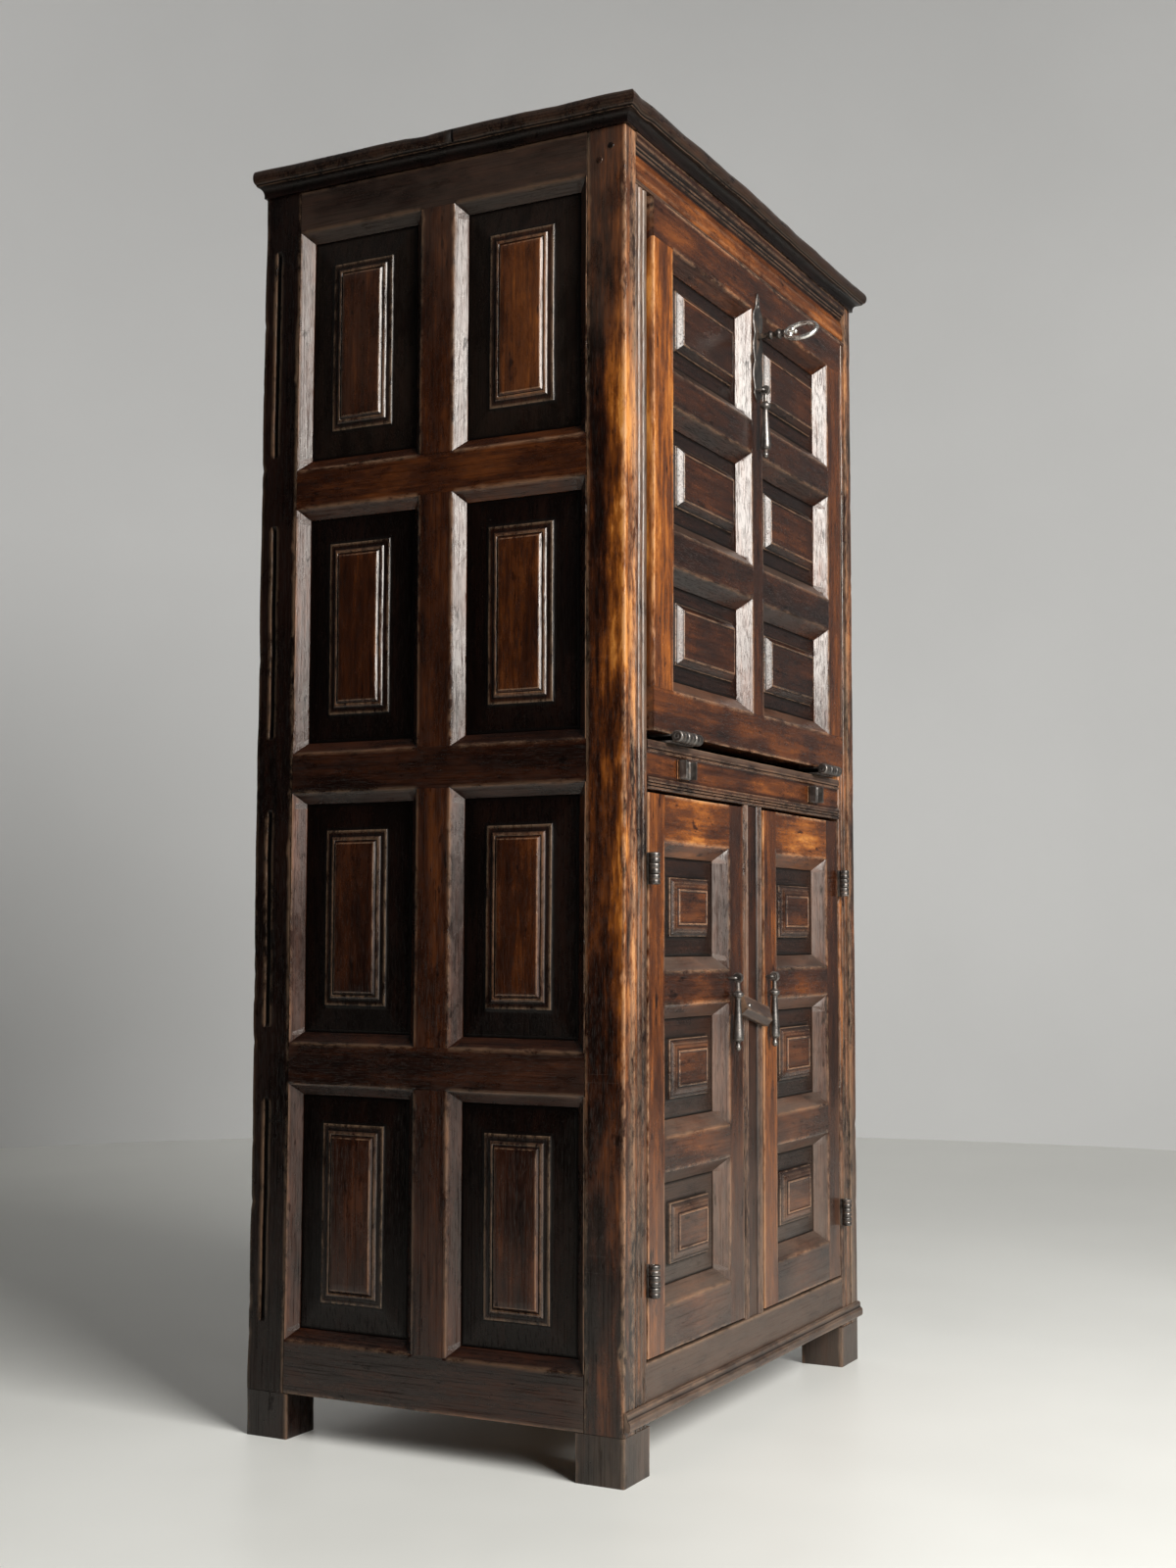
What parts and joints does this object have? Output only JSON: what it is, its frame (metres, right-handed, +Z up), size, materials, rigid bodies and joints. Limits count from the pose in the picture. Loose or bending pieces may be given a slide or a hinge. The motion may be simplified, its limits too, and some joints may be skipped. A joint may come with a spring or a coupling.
{
  "type": "fall-front cabinet",
  "caption": "Tall panelled wooden cabinet with a drop-down fall front over a pair of doors, iron hinges, drop handles, a turn button and a key in its lock.",
  "frame": {"origin": "on the floor, under the middle of the whole object's box", "axes": "+Z up, -Y towards the front with the fall and the doors, +X to the right as seen from the front"},
  "size_m": [0.8604, 0.6599, 1.6953],
  "materials": {
    "warm_walnut": "waxed, worn to orange on the edges",
    "dark_walnut": "waxed, nearly black",
    "panel_walnut": "waxed, glossy",
    "plain_wood": "unpolished",
    "iron": "hand-forged, dark",
    "steel": "worn bright"
  },
  "bodies": {
    "carcass": {"front_left_post": "warm_walnut", "front_right_post": "warm_walnut", "rear_left_post": "dark_walnut", "rear_right_post": "dark_walnut", "left_side_frame": "dark_walnut", "right_side_frame": "dark_walnut", "left_front_panels": "panel_walnut", "left_rear_panels": "panel_walnut", "right_front_panels": "panel_walnut", "right_rear_panels": "panel_walnut", "frieze_rail": "warm_walnut", "middle_rail": "warm_walnut", "bottom_rail": "dark_walnut", "centre_muntin": "dark_walnut", "top_board": "dark_walnut", "back_boards": "plain_wood", "writing_shelf": "plain_wood", "dust_board": "plain_wood", "cupboard_floor": "plain_wood", "fall_hinge_left_fixed": "iron", "fall_hinge_right_fixed": "iron", "left_door_hinge_lower_fixed": "iron", "left_door_hinge_upper_fixed": "iron", "right_door_hinge_lower_fixed": "iron", "right_door_hinge_upper_fixed": "iron"},
    "fall": {"fall_frame": "warm_walnut", "fall_panel_top_left": "panel_walnut", "fall_panel_top_right": "panel_walnut", "fall_panel_middle_left": "panel_walnut", "fall_panel_middle_right": "panel_walnut", "fall_panel_bottom_left": "panel_walnut", "fall_panel_bottom_right": "panel_walnut", "fall_hinge_left_moving": "iron", "fall_hinge_right_moving": "iron", "lock_case": "iron", "escutcheon": "iron"},
    "left_door": {"left_door_frame": "warm_walnut", "left_door_panel_top": "panel_walnut", "left_door_panel_middle": "panel_walnut", "left_door_panel_bottom": "panel_walnut", "left_door_hinge_lower_moving": "iron", "left_door_hinge_upper_moving": "iron", "left_handle_staple": "iron"},
    "right_door": {"right_door_frame": "warm_walnut", "right_door_panel_top": "panel_walnut", "right_door_panel_middle": "panel_walnut", "right_door_panel_bottom": "panel_walnut", "right_door_hinge_lower_moving": "iron", "right_door_hinge_upper_moving": "iron", "right_handle_staple": "iron"},
    "left_loper": {"left_loper": "warm_walnut", "left_loper_pull": "iron"},
    "right_loper": {"right_loper": "warm_walnut", "right_loper_pull": "iron"},
    "key": {"key": "steel"},
    "lock_bolt": {"lock_bolt": "steel"},
    "fall_handle": {"fall_handle": "iron"},
    "left_handle": {"left_door_handle": "iron"},
    "right_handle": {"right_door_handle": "iron"},
    "turn_button": {"turn_button": "dark_walnut"}
  },
  "joints": [
    {"name": "fall_hinge", "type": "hinge", "parent": "carcass", "child": "fall", "pos_m": [0, -0.24602, 0.903], "axis": [1, 0, 0], "range_deg": [0, 97]},
    {"name": "left_door_hinge", "type": "hinge", "parent": "carcass", "child": "left_door", "pos_m": [-0.3405, -0.23802, 0.483], "axis": [0, 0, -1], "range_deg": [0, 170]},
    {"name": "right_door_hinge", "type": "hinge", "parent": "carcass", "child": "right_door", "pos_m": [0.3405, -0.23802, 0.483], "axis": [0, 0, 1], "range_deg": [0, 170]},
    {"name": "left_loper_slide", "type": "slide", "parent": "carcass", "child": "left_loper", "axis": [0, -1, 0], "range_m": [0, 0.24]},
    {"name": "right_loper_slide", "type": "slide", "parent": "carcass", "child": "right_loper", "axis": [0, -1, 0], "range_m": [0, 0.24]},
    {"name": "key_turn", "type": "hinge", "parent": "fall", "child": "key", "pos_m": [0, -0.23703, 1.502], "axis": [0, 1, 0], "range_deg": [0, 180]},
    {"name": "lock_bolt_slide", "type": "slide", "parent": "fall", "child": "lock_bolt", "axis": [0, 0, 1], "range_m": [0, 0.012]},
    {"name": "fall_handle_swing", "type": "hinge", "parent": "fall", "child": "fall_handle", "pos_m": [0, -0.24952, 1.423], "axis": [-1, 0, 0], "range_deg": [0, 110]},
    {"name": "left_handle_swing", "type": "hinge", "parent": "left_door", "child": "left_handle", "pos_m": [-0.081, -0.23852, 0.595], "axis": [-1, 0, 0], "range_deg": [0, 110]},
    {"name": "right_handle_swing", "type": "hinge", "parent": "right_door", "child": "right_handle", "pos_m": [0.05, -0.23852, 0.595], "axis": [-1, 0, 0], "range_deg": [0, 110]},
    {"name": "turn_button_pivot", "type": "hinge", "parent": "left_door", "child": "turn_button", "pos_m": [-0.052, -0.22803, 0.557], "axis": [0, -1, 0], "range_deg": [-75, 100]}
  ],
  "couplings": [
    {"joint": "lock_bolt_slide", "follows": "key_turn", "m_per_rad": 0.0038}
  ]
}
